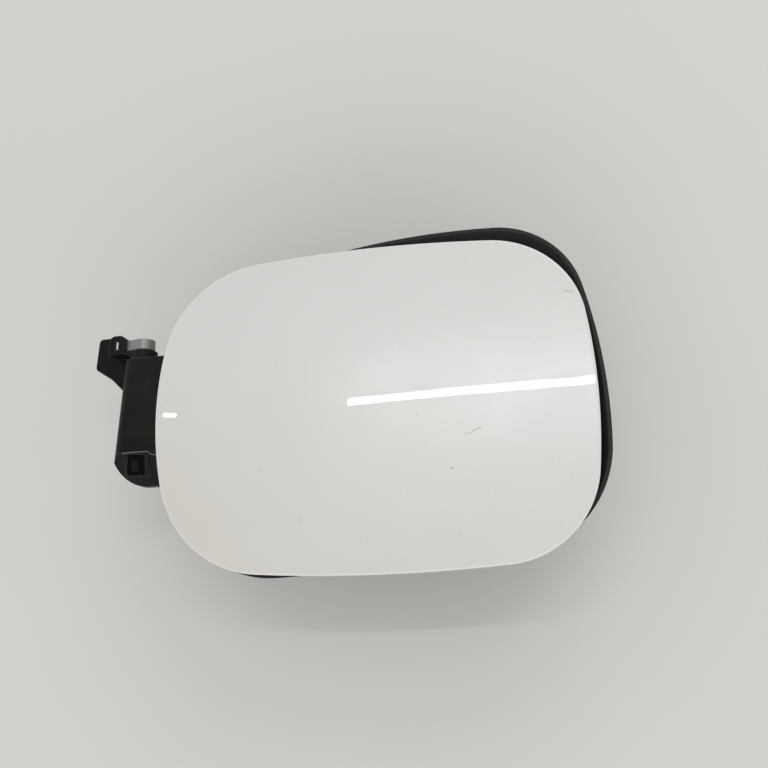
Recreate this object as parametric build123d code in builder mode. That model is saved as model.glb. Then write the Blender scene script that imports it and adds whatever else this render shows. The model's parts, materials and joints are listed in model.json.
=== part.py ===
"""Car fuel door: a painted flap on a gooseneck arm, closing a moulded filler bowl.

Frame: origin on the filler neck's axis at the bowl's rear plane, +Z out of the car,
+X from the hinge to the free side, +Y up on the car. All sizes are in millimetres.
"""

import os
from math import cos, radians, sin, tan

from build123d import *

os.makedirs("parts", exist_ok=True)

# Flap outline, seen from outside and centred on the neck's axis
flap_width = 186.0
flap_height = 138.0
flap_bow_hinge = 14.4  # how far the hinge side bows out past its corners
flap_bow_free = 8.4
flap_bow_long = 4.9
flap_radius_hinge = 46.0
flap_radius_free = 40.0

# Depth of the stack, from the rear plane outwards
ledge_z = 62.5  # top of the bowl's ledge
seal_rise = 4.5  # lip of the rim seal above the ledge
flap_gap = 1.5  # lip to the flap's return flange
flap_depth = 9.5  # return flange's edge to the crown's highest point

# Painted skin
crown_radius_y = 800.0
crown_radius_x = 2000.0
skin_wall = 2.2
skin_edge_radius = 1.1
crown_margin = 12.0
crown_depth = 40.0

# Inner carrier
carrier_wall = 2.2
carrier_gap = 0.5  # carrier's edge to the skin's inner wall
carrier_lift = 0.7  # carrier's underside above the return flange's edge
bond_gap = 0.4  # carrier's upper ribs to the skin
rib_wall = 2.0
rib_height = 3.0
rib_frame_inset = 30.0
rib_spacing = 36.0

# Rim of the bowl, set out from the flap's edges
rim_free_top_inset = 10.2
rim_free_low_inset = 2.2
rim_free_rise = 4.2
rim_hinge_inset = 9.5
rim_hinge_drop = 18.0
rim_low_free = 6.8
rim_low_hinge = -0.5
rim_bow_low = 1.0
rim_bow_free = 10.2
rim_bow_top = 11.3
rim_bow_hinge = 1.5
rim_radius_low_hinge = 42.0
rim_radius_low_free = 46.0
rim_radius_top_free = 38.0
rim_radius_top_hinge = 30.0
seal_reach = 8.0  # lip's flare, from the ledge's edge outwards
seal_wall = 1.6
seal_grip = 4.0  # how far the seal's channel reaches over the ledge
ledge_width = 14.0
ledge_wall = 2.5

# Bowl
bowl_wall = 2.4
floor_z = 14.0
floor_length = 112.0
floor_width = 88.0
floor_shift_x = 2.0
floor_shift_y = 3.0
floor_radius = 34.0
floor_bow = 2.0
base_radius = 44.5
base_wall = 2.5
fin_wall = 2.0
fin_depth = 24.0
stud_hole_radius = 2.75
stud_sleeve_wall = 0.85
stud_out = 6.2  # from the bowl's inner wall

# Neck collar and its clamp
neck_radius = 28.0
sleeve_wall = 3.0
sleeve_height = 7.0
collar_hole_radius = 36.0
collar_flange = 5.0
collar_flange_wall = 2.2
collar_funnel = 1.6
clamp_wall = 0.9
clamp_width = 4.2
clamp_ear = 5.0
fit_gap = 0.05

# Drain spout in the bowl's lower corner
drain_radius = 4.5
drain_bore = 3.0
drain_x = 44.0
drain_y = -27.0
drain_drop = 8.0

# Hinge pod beside the flap
pod_gap = 1.0  # return flange's edge to the pod's front
pod_wall = 2.2
pod_top_y = 30.9
pod_ridge_y = -12.2  # where the front face turns down to the lower end
pod_low_y = -26.0
pod_low_slope = 38.0
pod_low_depth = 15.0
pod_radius_top = 4.0
pod_radius_low = 12.0
pod_side_radius = 5.0  # round along the front's outer side
pod_lean = 4.2  # the outer side leans out towards the lower end
pod_side_gap = 1.0  # hub to the pod's outer side wall
pod_reach = 52.0  # pod's inner end, from the pivot towards the bowl

# Pivot and gooseneck arm
pivot_offset = 13.6  # pivot to the flap's hinge edge
pin_radius = 2.25
hub_radius = 4.1
hub_gap = 0.5
axial_gap = 0.6
running_gap = 0.05
arm_inner_radius = 18.2
arm_wall = 4.5
arm_start = -98.0
arm_web_end = -70.0
arm_sweep_gap = 1.7
arm_web = 4.0
arm_shoulder = 3.0  # arm band's ends, inside the hub's ends
gusset_length = 12.0
gusset_height = 8.0
stop_wall = 1.0
stop_length = 4.0

# Spring strip around the pin's upper end, and its bracket
bearing_boss_radius = 6.0
bearing_boss_height = 4.3
spring_radius = 4.45
spring_inner_radius = 2.95
spring_half_turns = 2
spring_wall = 0.7
spring_width = 4.7
spring_gap = 0.7
spring_leave = 105.0
spring_run = 10.9
spring_bend = 1.6
slot_gap = 0.35
bracket_wall = 3.0
bracket_depth = 11.5  # bracket's face below the pod's front
bracket_reach = 13.55  # from the slot to the outer edge
bracket_lean = 1.2
bracket_top_y = 45.2
bracket_low_y = 14.7
bracket_edge_low_y = 30.5
bracket_kink = (8.6, 24.8)  # from the outer edge, and its height
bracket_corner = 2.0
lug_wall = 1.2
lug_front = 5.05  # from the slot towards the spring
lug_back = 2.7
lug_round = 0.7
lug_end = 2.6  # past the strip's upper edge
lug_corner = 2.8
lug_slit = (1.8, 4.2)
lug_slit_in = 1.35  # slit's middle, from the strip's tail

# Snap plug in the pod's lower end
plug_width = 8.2
plug_length = 9.5
plug_gap = 0.15
plug_down = 5.4  # ridge to the plug's middle, across the pod
plug_sink = 1.4
plug_lip = 1.4
plug_edge = 0.35
plug_frame = 0.7  # shallow step around the window
plug_step = 0.5

# Retaining washer on the pin's lower end
washer_radius = 2.8
washer_wall = 0.7
washer_gap = 0.3

# Lock behind the free side
lock_y = 0.0
lock_z = 47.5
lock_pad_inset = 11.8  # from the rim's free side
lock_pin_radius = 3.5
lock_pin_gap = 0.35
lock_stroke = 8.0
lock_boss_radius = 8.5
lock_gasket_wall = 1.2
lock_case_length = 13.0
lock_case_width = 26.0
lock_case_height = 19.0
lock_ear_wall = 3.0
lock_cover_wall = 2.0
lock_corner = 3.0
lock_screw_pitch = 36.0
lock_screw_radius = 1.6
lock_screw_head = 3.4
lock_screw_head_height = 2.4
lock_screw_depth = 8.0
socket_width = 10.0
socket_height = 9.0
socket_length = 8.0
socket_wall = 1.4

# Striker on the flap
striker_wall = 2.0
striker_width = 20.0
striker_foot = 14.0
striker_setback = 18.0  # from the lock's pad towards the bowl's middle
striker_gap = 1.5  # retracted lock pin to the striker
striker_window = 10.0
striker_below = 4.0
rivet_radius = 1.6
rivet_head = 3.0
rivet_head_height = 1.2

# Buffers under the flap's free side
buffer_radius = 4.0
buffer_spread = 68.0
buffer_inset = 17.0
buffer_gap = 0.4

# Clips
clip_wall = 0.7
skin_clip_width = 10.0
skin_clip_foot = 8.0
skin_clip_height = 2.6
body_clip_width = 9.0
body_clip_depth = 10.0
body_clip_flare = 2.2
body_tab_width = 13.0
body_tab_wall = 2.2
body_tab_depth = 15.0

# Cap holder on the carrier
holder_radius = 6.0
holder_wall = 2.4
holder_drop = 9.0
holder_x = 30.0
holder_y = -8.0

# Worked-out places
lip_z = ledge_z + seal_rise
skirt_z = lip_z + flap_gap
crown_z = skirt_z + flap_depth
carrier_z = skirt_z + carrier_lift
pod_front_z = skirt_z - pod_gap
pivot_x = -flap_width / 2 - pivot_offset
pivot_z = pod_front_z - pod_wall - hub_gap - hub_radius
arm_outer_radius = arm_inner_radius + arm_wall
pod_left_x = pivot_x - hub_radius - pod_side_gap - pod_wall
pod_right_x = pivot_x + pod_reach
pod_floor_z = pivot_z - arm_outer_radius - arm_sweep_gap - pod_wall
pod_mouth_x = -flap_width / 2
bearing_y = pod_ridge_y + pod_wall
arm_low_y = bearing_y + axial_gap
arm_high_y = pod_top_y - pod_wall - axial_gap
spring_low_y = pod_top_y + bearing_boss_height + spring_gap
spring_high_y = spring_low_y + spring_width
pin_high_y = spring_high_y - spring_wall
washer_high_y = bearing_y - pod_wall - washer_gap
pin_low_y = washer_high_y - washer_wall - washer_gap
bracket_z = pod_front_z - bracket_depth
leave_dir = spring_leave + 90
spring_end_x = (
    pivot_x
    + spring_radius * cos(radians(spring_leave))
    + spring_run * cos(radians(leave_dir))
    + spring_bend * cos(radians(leave_dir + 90))
    - spring_bend
)
lug_face_x = spring_end_x + lug_front
strip_drop = (pivot_x + spring_radius * cos(radians(spring_leave)) - lug_face_x) * tan(radians(leave_dir - 180))
strip_z = pivot_z + spring_radius * sin(radians(spring_leave)) - strip_drop
lug_z = strip_z + spring_wall / 2 + slot_gap + lug_wall
rim_free_x = flap_width / 2 - rim_free_low_inset
tub_inset = seal_reach + ledge_width
lock_pad_x = rim_free_x - lock_pad_inset
striker_x = lock_pad_x - striker_setback
striker_low_z = lock_z - striker_window / 2 - striker_below
striker_foot_x = striker_x + striker_wall - striker_foot
rivet_x = striker_foot_x + striker_foot / 3
rivet_ys = [lock_y - striker_width / 4, lock_y + striker_width / 4]
striker_seat = (striker_foot_x + striker_foot / 2, lock_y)
striker_seat_size = (striker_foot + 2 * carrier_gap, striker_width + 2 * carrier_gap)
lock_tip_x = striker_x + striker_wall + striker_gap
case_x = lock_pad_x + lock_gasket_wall

along_x = Plane.YZ  # sketches read (Y, Z) and grow along +X
along_y = Plane.XZ  # sketches read (X, Z) and grow along -Y


def bowed_quad(corners, bows, radii):
    """Outline with four sides that bow out and a radius at each corner."""
    with BuildSketch() as quad:
        with BuildLine():
            for i, start in enumerate(corners):
                SagittaArc(start, corners[(i + 1) % 4], -bows[i])
        make_face()
        for corner, radius in zip(corners, radii):
            fillet(quad.vertices().sort_by_distance(corner)[0], radius)
    return quad.sketch


def inset(outline, amount):
    """The same outline of tangent arcs, with each arc drawn in towards its centre."""
    with BuildSketch() as smaller:
        with BuildLine():
            for arc in outline.edges():
                points = [arc @ t for t in (0, 0.5, 1)]
                ThreePointArc(*[p + (arc.arc_center - p).normalized() * amount for p in points])
        make_face()
    return smaller.sketch


def under_crown(sink):
    """Solid below the flap's double-curved surface, sunk by an amount."""
    half_turn = 6.0
    axis_z = crown_z - crown_radius_x
    radial = Plane(
        origin=(0, 0, axis_z),
        x_dir=(0, 1, 0),
        z_dir=(cos(radians(half_turn)), 0, sin(radians(half_turn))),
    )
    reach = flap_height / 2 + crown_margin
    top = crown_radius_x - sink
    low = crown_radius_x - crown_depth
    sag = crown_radius_y - (crown_radius_y**2 - reach**2) ** 0.5
    with BuildPart() as block:
        with BuildSketch(radial):
            with BuildLine():
                Polyline((reach, top - sag), (reach, low), (-reach, low), (-reach, top - sag))
                ThreePointArc((-reach, top - sag), (0, top), (reach, top - sag))
            make_face()
        revolve(axis=Axis((0, 0, axis_z), (0, 1, 0)), revolution_arc=2 * half_turn)
    return block.part


def side_planes(outline, shares):
    """Planes on an outline's lower and upper sides, with their own +Y facing outwards."""
    sides = outline.edges().sort_by(Axis.Y)
    planes = []
    for side in (sides[0], sides[-1]):
        for share in shares:
            point = side @ share
            out = (point - side.arc_center).normalized()
            planes.append(Plane(point, x_dir=out.cross(Vector(0, 0, 1)), z_dir=(0, 0, 1)))
    return planes


def pod_side_x(y):
    """Outer side of the pod, which leans, at a height along the hinge."""
    return pod_left_x - (pod_top_y - y) * tan(radians(pod_lean))


def pod_block(wall):
    """Outer form of the hinge pod, or its hollow when it is drawn in by a wall."""
    low_slope = radians(pod_low_slope)
    lean = radians(pod_lean)
    front_z = pod_front_z - wall
    low_y = pod_low_y + wall
    top_y = pod_top_y - wall
    ridge_y = pod_ridge_y + wall * tan((radians(90) - low_slope) / 2) * 0.5
    height = front_z - pod_floor_z - wall
    low_corner = (pod_side_x(low_y) + wall, low_y)
    top_corner = (pod_side_x(top_y) + wall, top_y)
    outer_side = Plane(
        origin=(*top_corner, pod_floor_z + wall),
        x_dir=(cos(lean), -sin(lean), 0),
        z_dir=(-sin(lean), -cos(lean), 0),
    )
    with BuildPart() as block:
        with BuildSketch(outer_side) as profile:
            Rectangle(2 * pod_reach, height, align=(Align.MIN, Align.MIN))
            fillet(profile.vertices().sort_by_distance((0, height))[0], pod_side_radius - wall)
        extrude(amount=2 * pod_reach, both=True)
        with BuildSketch(Plane.XY.offset(pod_floor_z + wall)) as plan:
            with BuildLine():
                Polyline(
                    low_corner,
                    (pod_right_x + wall, low_y),
                    (pod_right_x + wall, top_y),
                    top_corner,
                    close=True,
                )
            make_face()
            fillet(plan.vertices().sort_by_distance(low_corner)[0], pod_radius_low - wall)
            fillet(plan.vertices().sort_by_distance(top_corner)[0], pod_radius_top - wall)
        extrude(amount=height, mode=Mode.INTERSECT)
        # the front turns down to a sloping lower end, which is shallower than the rest
        with BuildSketch(along_x.offset(pod_side_x(pod_low_y) - wall)):
            with BuildLine():
                Polyline(
                    (ridge_y, front_z),
                    (ridge_y - pod_reach, front_z - pod_reach * tan(low_slope)),
                    (ridge_y - pod_reach, front_z),
                    close=True,
                )
            make_face()
        extrude(amount=pod_reach * 2, mode=Mode.SUBTRACT)
        with BuildSketch(along_x.offset(pod_side_x(pod_low_y) - wall)):
            with Locations((pod_low_y, pod_floor_z)):
                Rectangle(
                    2 * (pod_ridge_y - pod_low_y + wall),
                    2 * (pod_front_z - pod_low_depth + wall - pod_floor_z),
                )
        extrude(amount=pod_reach * 2, mode=Mode.SUBTRACT)
    return block.part


def spring_tail_path(extra):
    """The strip's line from its coil to the lug, round its bend and down into the bracket."""
    coil_end = Vector(
        pivot_x + spring_radius * cos(radians(spring_leave)),
        pivot_z + spring_radius * sin(radians(spring_leave)),
    )
    run = PolarLine(coil_end, spring_run, leave_dir)
    bend = JernArc(run @ 1, run % 1, spring_bend, 270 - leave_dir)
    Line(bend @ 1, ((bend @ 1).X, bracket_z - bracket_wall / 2 - extra))


half_width = flap_width / 2
half_height = flap_height / 2
flap_left = -half_width + flap_bow_hinge
flap_right = half_width - flap_bow_free
flap_side = half_height - flap_bow_long
flap_outline = bowed_quad(
    [
        (flap_left, -flap_side),
        (flap_right, -flap_side),
        (flap_right, flap_side),
        (flap_left, flap_side),
    ],
    [flap_bow_long, flap_bow_free, flap_bow_long, flap_bow_hinge],
    [flap_radius_hinge, flap_radius_free, flap_radius_free, flap_radius_hinge],
)
rim_outline = bowed_quad(
    [
        (-half_width + rim_hinge_inset, -half_height + rim_low_hinge),
        (rim_free_x, -half_height + rim_low_free),
        (half_width - rim_free_top_inset, half_height + rim_free_rise),
        (-half_width + rim_hinge_inset, half_height - rim_hinge_drop),
    ],
    [rim_bow_low, rim_bow_free, rim_bow_top, rim_bow_hinge],
    [
        rim_radius_low_hinge,
        rim_radius_low_free,
        rim_radius_top_free,
        rim_radius_top_hinge,
    ],
)
floor_left = floor_shift_x - floor_length / 2 + floor_bow
floor_right = floor_shift_x + floor_length / 2 - floor_bow
floor_low = floor_shift_y - floor_width / 2 + floor_bow
floor_high = floor_shift_y + floor_width / 2 - floor_bow
floor_outline = bowed_quad(
    [
        (floor_left, floor_low),
        (floor_right, floor_low),
        (floor_right, floor_high),
        (floor_left, floor_high),
    ],
    [floor_bow] * 4,
    [floor_radius] * 4,
)
ledge_outline = inset(rim_outline, seal_reach)
tub_outline = inset(rim_outline, tub_inset)
carrier_outline = inset(flap_outline, skin_wall + carrier_gap)

# Flap skin: crowned panel with a return flange
with BuildPart() as skin_hollow:
    with BuildSketch(Plane.XY.offset(skirt_z - 1)):
        add(inset(flap_outline, skin_wall))
    extrude(amount=flap_depth + 2)
    add(under_crown(skin_wall), mode=Mode.INTERSECT)

with BuildPart() as flap_skin:
    with BuildSketch(Plane.XY.offset(skirt_z)):
        add(flap_outline)
    extrude(amount=flap_depth + 1)
    add(under_crown(0), mode=Mode.INTERSECT)
    fillet(flap_skin.faces().sort_by(Axis.Z)[-1].edges(), skin_edge_radius)
    add(skin_hollow.part, mode=Mode.SUBTRACT)

flap_skin.part.label = "flap_skin"
export_step(flap_skin.part, "parts/flap_skin.step")

# Flap carrier: inner panel, gooseneck arm and cap holder in one moulding
web_ys = [
    arm_low_y + arm_shoulder + arm_web / 2,
    (arm_low_y + arm_high_y) / 2,
    arm_high_y - arm_shoulder - arm_web / 2,
]
arm_leg_x = pivot_x + arm_outer_radius
skin_clip_planes = side_planes(carrier_outline, (0.2, 0.8))

with BuildPart() as flap_carrier:
    # panel with notches for the skin's clips, drawn up to the skin, then pocketed
    with BuildSketch(Plane.XY.offset(carrier_z)):
        add(carrier_outline)
        with Locations([plane.location for plane in skin_clip_planes]):
            Rectangle(
                skin_clip_width + 2 * carrier_gap,
                2 * (clip_wall + carrier_gap),
                mode=Mode.SUBTRACT,
            )
    extrude(amount=flap_depth)
    add(under_crown(skin_wall + bond_gap), mode=Mode.INTERSECT)
    with BuildSketch(Plane.XY.offset(carrier_z + carrier_wall)):
        add(inset(carrier_outline, rib_wall))
        with GridLocations(rib_spacing, 1, 5, 1):
            Rectangle(rib_wall, flap_height, mode=Mode.SUBTRACT)
        with GridLocations(1, rib_spacing, 1, 3):
            Rectangle(flap_width, rib_wall, mode=Mode.SUBTRACT)
    extrude(amount=flap_depth, mode=Mode.SUBTRACT)
    # stiffening frame and cross ribs on the inner face
    with BuildSketch(Plane.XY.offset(carrier_z)):
        add(inset(carrier_outline, rib_frame_inset))
        add(inset(carrier_outline, rib_frame_inset + rib_wall), mode=Mode.SUBTRACT)
        with Locations(striker_seat):
            Rectangle(*striker_seat_size, mode=Mode.SUBTRACT)
    extrude(amount=-rib_height)
    with BuildSketch(Plane.XY.offset(carrier_z)):
        with GridLocations(rib_spacing, 1, 3, 1):
            Rectangle(rib_wall, flap_height)
        Rectangle(flap_width, rib_wall)
        add(inset(carrier_outline, rib_frame_inset + rib_wall / 2), mode=Mode.INTERSECT)
        with Locations(striker_seat):
            Rectangle(*striker_seat_size, mode=Mode.SUBTRACT)
    extrude(amount=-rib_height / 2)
    # gooseneck band around the pivot, rising to the panel
    with BuildSketch(along_y.offset(-(arm_high_y - arm_shoulder))):
        with BuildLine():
            inner = CenterArc((pivot_x, pivot_z), arm_inner_radius, arm_start, -arm_start)
            outer = CenterArc((pivot_x, pivot_z), arm_outer_radius, arm_start, -arm_start)
            Line(inner @ 0, outer @ 0)
            Polyline(
                inner @ 1,
                (pivot_x + arm_inner_radius, carrier_z + carrier_wall / 2),
                (pivot_x + arm_outer_radius, carrier_z + carrier_wall / 2),
                outer @ 1,
            )
        make_face()
    extrude(amount=arm_high_y - arm_low_y - 2 * arm_shoulder)
    # hub, its three webs and the gussets under the panel
    with BuildSketch(along_y.offset(-arm_high_y)):
        with Locations((pivot_x, pivot_z)):
            Circle(hub_radius)
    extrude(amount=arm_high_y - arm_low_y)
    for web_y in web_ys:
        with BuildSketch(along_y.offset(-(web_y + arm_web / 2))):
            with BuildLine():
                rim = CenterArc(
                    (pivot_x, pivot_z),
                    arm_inner_radius + arm_wall / 2,
                    arm_start,
                    arm_web_end - arm_start,
                )
                Polyline(rim @ 0, (pivot_x, pivot_z), rim @ 1)
            make_face()
            with BuildLine():
                Polyline(
                    (arm_leg_x - arm_wall / 2, carrier_z + carrier_wall / 2),
                    (arm_leg_x + gusset_length, carrier_z + carrier_wall / 2),
                    (arm_leg_x + gusset_length, carrier_z),
                    (arm_leg_x, carrier_z - gusset_height),
                    (arm_leg_x - arm_wall / 2, carrier_z - gusset_height),
                    close=True,
                )
            make_face()
        extrude(amount=arm_web)
    # bore for the pin
    with BuildSketch(along_y.offset(-arm_high_y)):
        with Locations((pivot_x, pivot_z)):
            Circle(pin_radius + fit_gap)
    extrude(amount=arm_high_y - arm_low_y, mode=Mode.SUBTRACT)
    # open ring that holds the filler cap during a fill
    with BuildSketch(Plane.XY.offset(carrier_z)):
        with Locations((holder_x, holder_y)):
            Circle(holder_radius + holder_wall)
            Circle(holder_radius, mode=Mode.SUBTRACT)
        with Locations((holder_x, holder_y - holder_radius)):
            Rectangle(1.4 * holder_radius, 2 * holder_radius, mode=Mode.SUBTRACT)
    extrude(amount=-holder_drop)
    # holes for the striker's rivets
    with BuildSketch(Plane.XY.offset(carrier_z)):
        with Locations([(rivet_x, y) for y in rivet_ys]):
            Circle(rivet_radius + fit_gap)
    extrude(amount=1.5 * carrier_wall, both=True, mode=Mode.SUBTRACT)

flap_carrier.part.label = "flap_carrier"
export_step(flap_carrier.part, "parts/flap_carrier.step")

# Clips between the carrier and the skin
for number, plane in enumerate(skin_clip_planes, 1):
    foot_z = carrier_z - fit_gap - clip_wall
    with BuildPart() as skin_clip:
        with BuildSketch(plane.offset(foot_z)):
            with Locations((0, -skin_clip_foot / 2)):
                Rectangle(skin_clip_width, skin_clip_foot)
        extrude(amount=clip_wall)
        with BuildSketch(plane.offset(foot_z)):
            with Locations((0, -clip_wall / 2)):
                Rectangle(skin_clip_width, clip_wall)
        extrude(amount=skin_clip_height + clip_wall)
    skin_clip.part.label = f"skin_clip_{number}"
    export_step(skin_clip.part, f"parts/skin_clip_{number}.step")

# Hinge pin, fixed in the arm, and the push-on washer that keeps its lower end, behind the snap plug
with BuildPart() as hinge_pin:
    with BuildSketch(along_y.offset(-pin_high_y)):
        with Locations((pivot_x, pivot_z)):
            Circle(pin_radius)
    extrude(amount=pin_high_y - pin_low_y)
    chamfer(hinge_pin.edges().filter_by(GeomType.CIRCLE), pin_radius / 5)

hinge_pin.part.label = "hinge_pin"
export_step(hinge_pin.part, "parts/hinge_pin.step")

with BuildPart() as pin_washer:
    with BuildSketch(along_y.offset(-washer_high_y)):
        with Locations((pivot_x, pivot_z)):
            Circle(washer_radius)
            Circle(pin_radius + fit_gap, mode=Mode.SUBTRACT)
    extrude(amount=washer_wall)

pin_washer.part.label = "pin_washer"
export_step(pin_washer.part, "parts/pin_washer.step")

# Hollows of the bowl: the tapered tub and the space that the arm sweeps in the pod
with BuildPart() as tub_hollow:
    with BuildSketch(Plane.XY.offset(floor_z)):
        add(floor_outline)
    with BuildSketch(Plane.XY.offset(ledge_z)):
        add(tub_outline)
    loft()
    with BuildSketch(Plane.XY.offset(ledge_z)):
        add(tub_outline)
    extrude(amount=pod_front_z - ledge_z + 1)

low_slope = radians(pod_low_slope)
plug_y = pod_ridge_y - plug_down
plug_plane = Plane(
    origin=(pivot_x, plug_y, pod_front_z - plug_down * tan(low_slope)),
    x_dir=(1, 0, 0),
    z_dir=(0, -sin(low_slope), cos(low_slope)),
)
spring_mid_y = spring_low_y + spring_width / 2
lug_low_y = spring_low_y - slot_gap - lug_wall
lug_high_y = spring_high_y + lug_end
bracket_left_x = spring_end_x - bracket_reach
tab_planes = side_planes(tub_outline, (0.3, 0.7))
fin_planes = side_planes(tub_outline, (0.1, 0.9))
stud_planes = side_planes(tub_outline, (0.5,))
bearing_x = pod_side_x(bearing_y) + pod_wall / 2
tab_out = (ledge_width - seal_grip) / 2
ledge_low_z = ledge_z - ledge_wall
side_screw_ys = [lock_y - lock_screw_pitch / 2, lock_y + lock_screw_pitch / 2]

with BuildPart() as filler_bowl:
    # tapered tub with its ledge and the ring that it stands on
    with BuildSketch(Plane.XY.offset(floor_z - bowl_wall)):
        add(inset(floor_outline, -bowl_wall))
    with BuildSketch(Plane.XY.offset(ledge_z)):
        add(inset(tub_outline, -bowl_wall))
    loft()
    with BuildSketch(Plane.XY.offset(ledge_low_z)):
        add(ledge_outline)
    extrude(amount=ledge_wall)
    with BuildSketch():
        Circle(base_radius)
    extrude(amount=floor_z)
    # fins and clip tabs under the ledge
    for plane in fin_planes:
        with BuildSketch(Plane(plane.origin, x_dir=plane.y_dir, z_dir=plane.x_dir)):
            with BuildLine():
                Polyline(
                    (-2 * bowl_wall, ledge_low_z),
                    (ledge_width - seal_grip - fin_wall, ledge_low_z),
                    (-2 * bowl_wall, ledge_low_z - fin_depth),
                    close=True,
                )
            make_face()
        extrude(amount=fin_wall / 2, both=True)
    for plane in tab_planes:
        with BuildSketch(plane.offset(ledge_low_z)):
            with Locations((0, tab_out)):
                Rectangle(body_tab_width, body_tab_wall)
        extrude(amount=-body_tab_depth)
    # bosses for the lock, joined by a web
    with BuildSketch(along_x.offset(striker_x)):
        with Locations((lock_y, lock_z)):
            Circle(lock_boss_radius)
    extrude(amount=lock_pad_x - striker_x)
    with BuildSketch(along_x.offset(striker_x)):
        with Locations([(y, lock_z) for y in side_screw_ys]):
            Circle(lock_screw_radius + 2 * lock_gasket_wall)
        with Locations((lock_y, lock_z)):
            Rectangle(lock_screw_pitch, fin_wall)
    extrude(amount=case_x - striker_x)
    with BuildSketch(along_x.offset(lock_pad_x)):
        with Locations((lock_y, lock_z)):
            Circle(lock_boss_radius + lock_gasket_wall)
    extrude(amount=lock_gasket_wall, mode=Mode.SUBTRACT)
    # hinge pod
    add(pod_block(0))
    add(tub_hollow.part, mode=Mode.SUBTRACT)
    add(pod_block(pod_wall), mode=Mode.SUBTRACT)
    with BuildSketch(Plane.XY.offset(pivot_z)):
        with Locations((pod_mouth_x, bearing_y)):
            Rectangle(
                pod_reach,
                pod_top_y - pod_wall - bearing_y,
                align=(Align.MIN, Align.MIN),
            )
    extrude(amount=pod_front_z - pivot_z + 1, mode=Mode.SUBTRACT)
    # lower bearing wall, upper bearing boss and the pin's bore through both
    with BuildSketch(along_y.offset(-bearing_y)):
        with Locations((bearing_x, pod_front_z - 0.9 * pod_wall)):
            Rectangle(
                pivot_x + hub_radius + pod_wall - bearing_x,
                2 * (pod_front_z - pivot_z) + 2 * hub_radius,
                align=(Align.MIN, Align.MAX),
            )
    extrude(amount=pod_wall)
    with BuildSketch(along_y.offset(-(pod_top_y + bearing_boss_height))):
        with Locations((pivot_x, pivot_z)):
            Circle(bearing_boss_radius)
    extrude(amount=bearing_boss_height + pod_wall / 2)
    with BuildSketch(along_y.offset(-pin_high_y)):
        with Locations((pivot_x, pivot_z)):
            Circle(pin_radius + running_gap)
    extrude(amount=pin_high_y - pin_low_y, mode=Mode.SUBTRACT)
    # square window for the snap plug in the sloping lower end
    with BuildSketch(plug_plane):
        Rectangle(plug_width + 2 * plug_gap, plug_length + 2 * plug_gap)
    extrude(amount=2 * pod_wall, both=True, mode=Mode.SUBTRACT)
    with BuildSketch(plug_plane):
        Rectangle(plug_width + 2 * plug_frame, plug_length + 2 * plug_frame)
    extrude(amount=-plug_step, mode=Mode.SUBTRACT)
    # spring bracket with a hooked lug around the spring's tail
    with BuildSketch(Plane.XY.offset(bracket_z - bracket_wall)) as bracket:
        with BuildLine():
            Polyline(
                (pod_side_x(bracket_low_y) + pod_wall / 3, bracket_low_y),
                (pod_side_x(pod_top_y) + pod_wall / 3, pod_top_y - pod_radius_top),
                (lug_face_x, spring_high_y),
                (spring_end_x, bracket_top_y),
                (bracket_left_x + bracket_lean, bracket_top_y),
                (bracket_left_x, bracket_edge_low_y),
                (bracket_left_x + bracket_kink[0], bracket_kink[1]),
                close=True,
            )
        make_face()
        fillet(bracket.vertices().sort_by(Axis.X)[:2], bracket_corner)
    extrude(amount=bracket_wall)
    with BuildSketch(Plane.XY.offset(bracket_z - bracket_wall)) as lug:
        with Locations((spring_end_x - lug_back, lug_low_y)):
            Rectangle(lug_back + lug_front, lug_high_y - lug_low_y, align=(Align.MIN, Align.MIN))
        fillet(lug.vertices().group_by(Axis.Y)[-1], lug_corner)
    extrude(amount=lug_z - bracket_z + bracket_wall)
    lug_top = filler_bowl.faces().sort_by_distance((spring_end_x, spring_mid_y, lug_z))[0]
    fillet(lug_top.edges(), lug_round)
    with BuildSketch(along_y.offset(-(spring_high_y + slot_gap))):
        with BuildLine():
            spring_tail_path(2 * bracket_wall)
        trace(line_width=spring_wall + 2 * slot_gap)
    extrude(amount=spring_width + 2 * slot_gap, mode=Mode.SUBTRACT)
    with BuildSketch(Plane.XY.offset(lug_z)):
        with Locations((spring_end_x + lug_slit_in, spring_mid_y)):
            Rectangle(*lug_slit)
    extrude(amount=-2 * lug_wall, mode=Mode.SUBTRACT)
    # neck opening, base ring's bore and drain spout
    with BuildSketch():
        Circle(base_radius - base_wall)
    extrude(amount=floor_z - bowl_wall, mode=Mode.SUBTRACT)
    with BuildSketch():
        Circle(collar_hole_radius)
    extrude(amount=floor_z, mode=Mode.SUBTRACT)
    with BuildSketch(Plane.XY.offset(floor_z - bowl_wall - drain_drop)):
        with Locations((drain_x, drain_y)):
            Circle(drain_radius)
    extrude(amount=drain_drop + bowl_wall / 2)
    with BuildSketch(Plane.XY.offset(floor_z - bowl_wall - drain_drop)):
        with Locations((drain_x, drain_y)):
            Circle(drain_bore)
    extrude(amount=drain_drop + bowl_wall, mode=Mode.SUBTRACT)
    # holes: lock pin, lock screws and the two stud sleeves in the ledge
    with BuildSketch(along_x.offset(striker_x)):
        with Locations((lock_y, lock_z)):
            Circle(lock_pin_radius + lock_pin_gap)
    extrude(amount=lock_pad_x - striker_x, mode=Mode.SUBTRACT)
    with BuildSketch(along_x.offset(case_x)):
        with Locations([(y, lock_z) for y in side_screw_ys]):
            Circle(lock_screw_radius + fit_gap)
    extrude(amount=-lock_screw_depth, mode=Mode.SUBTRACT)
    for plane in stud_planes:
        with BuildSketch(plane.offset(ledge_low_z)):
            with Locations((0, stud_out)):
                Circle(stud_hole_radius + stud_sleeve_wall + fit_gap)
        extrude(amount=ledge_wall, mode=Mode.SUBTRACT)

filler_bowl.part.label = "filler_bowl"
export_step(filler_bowl.part, "parts/filler_bowl.step")

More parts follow.
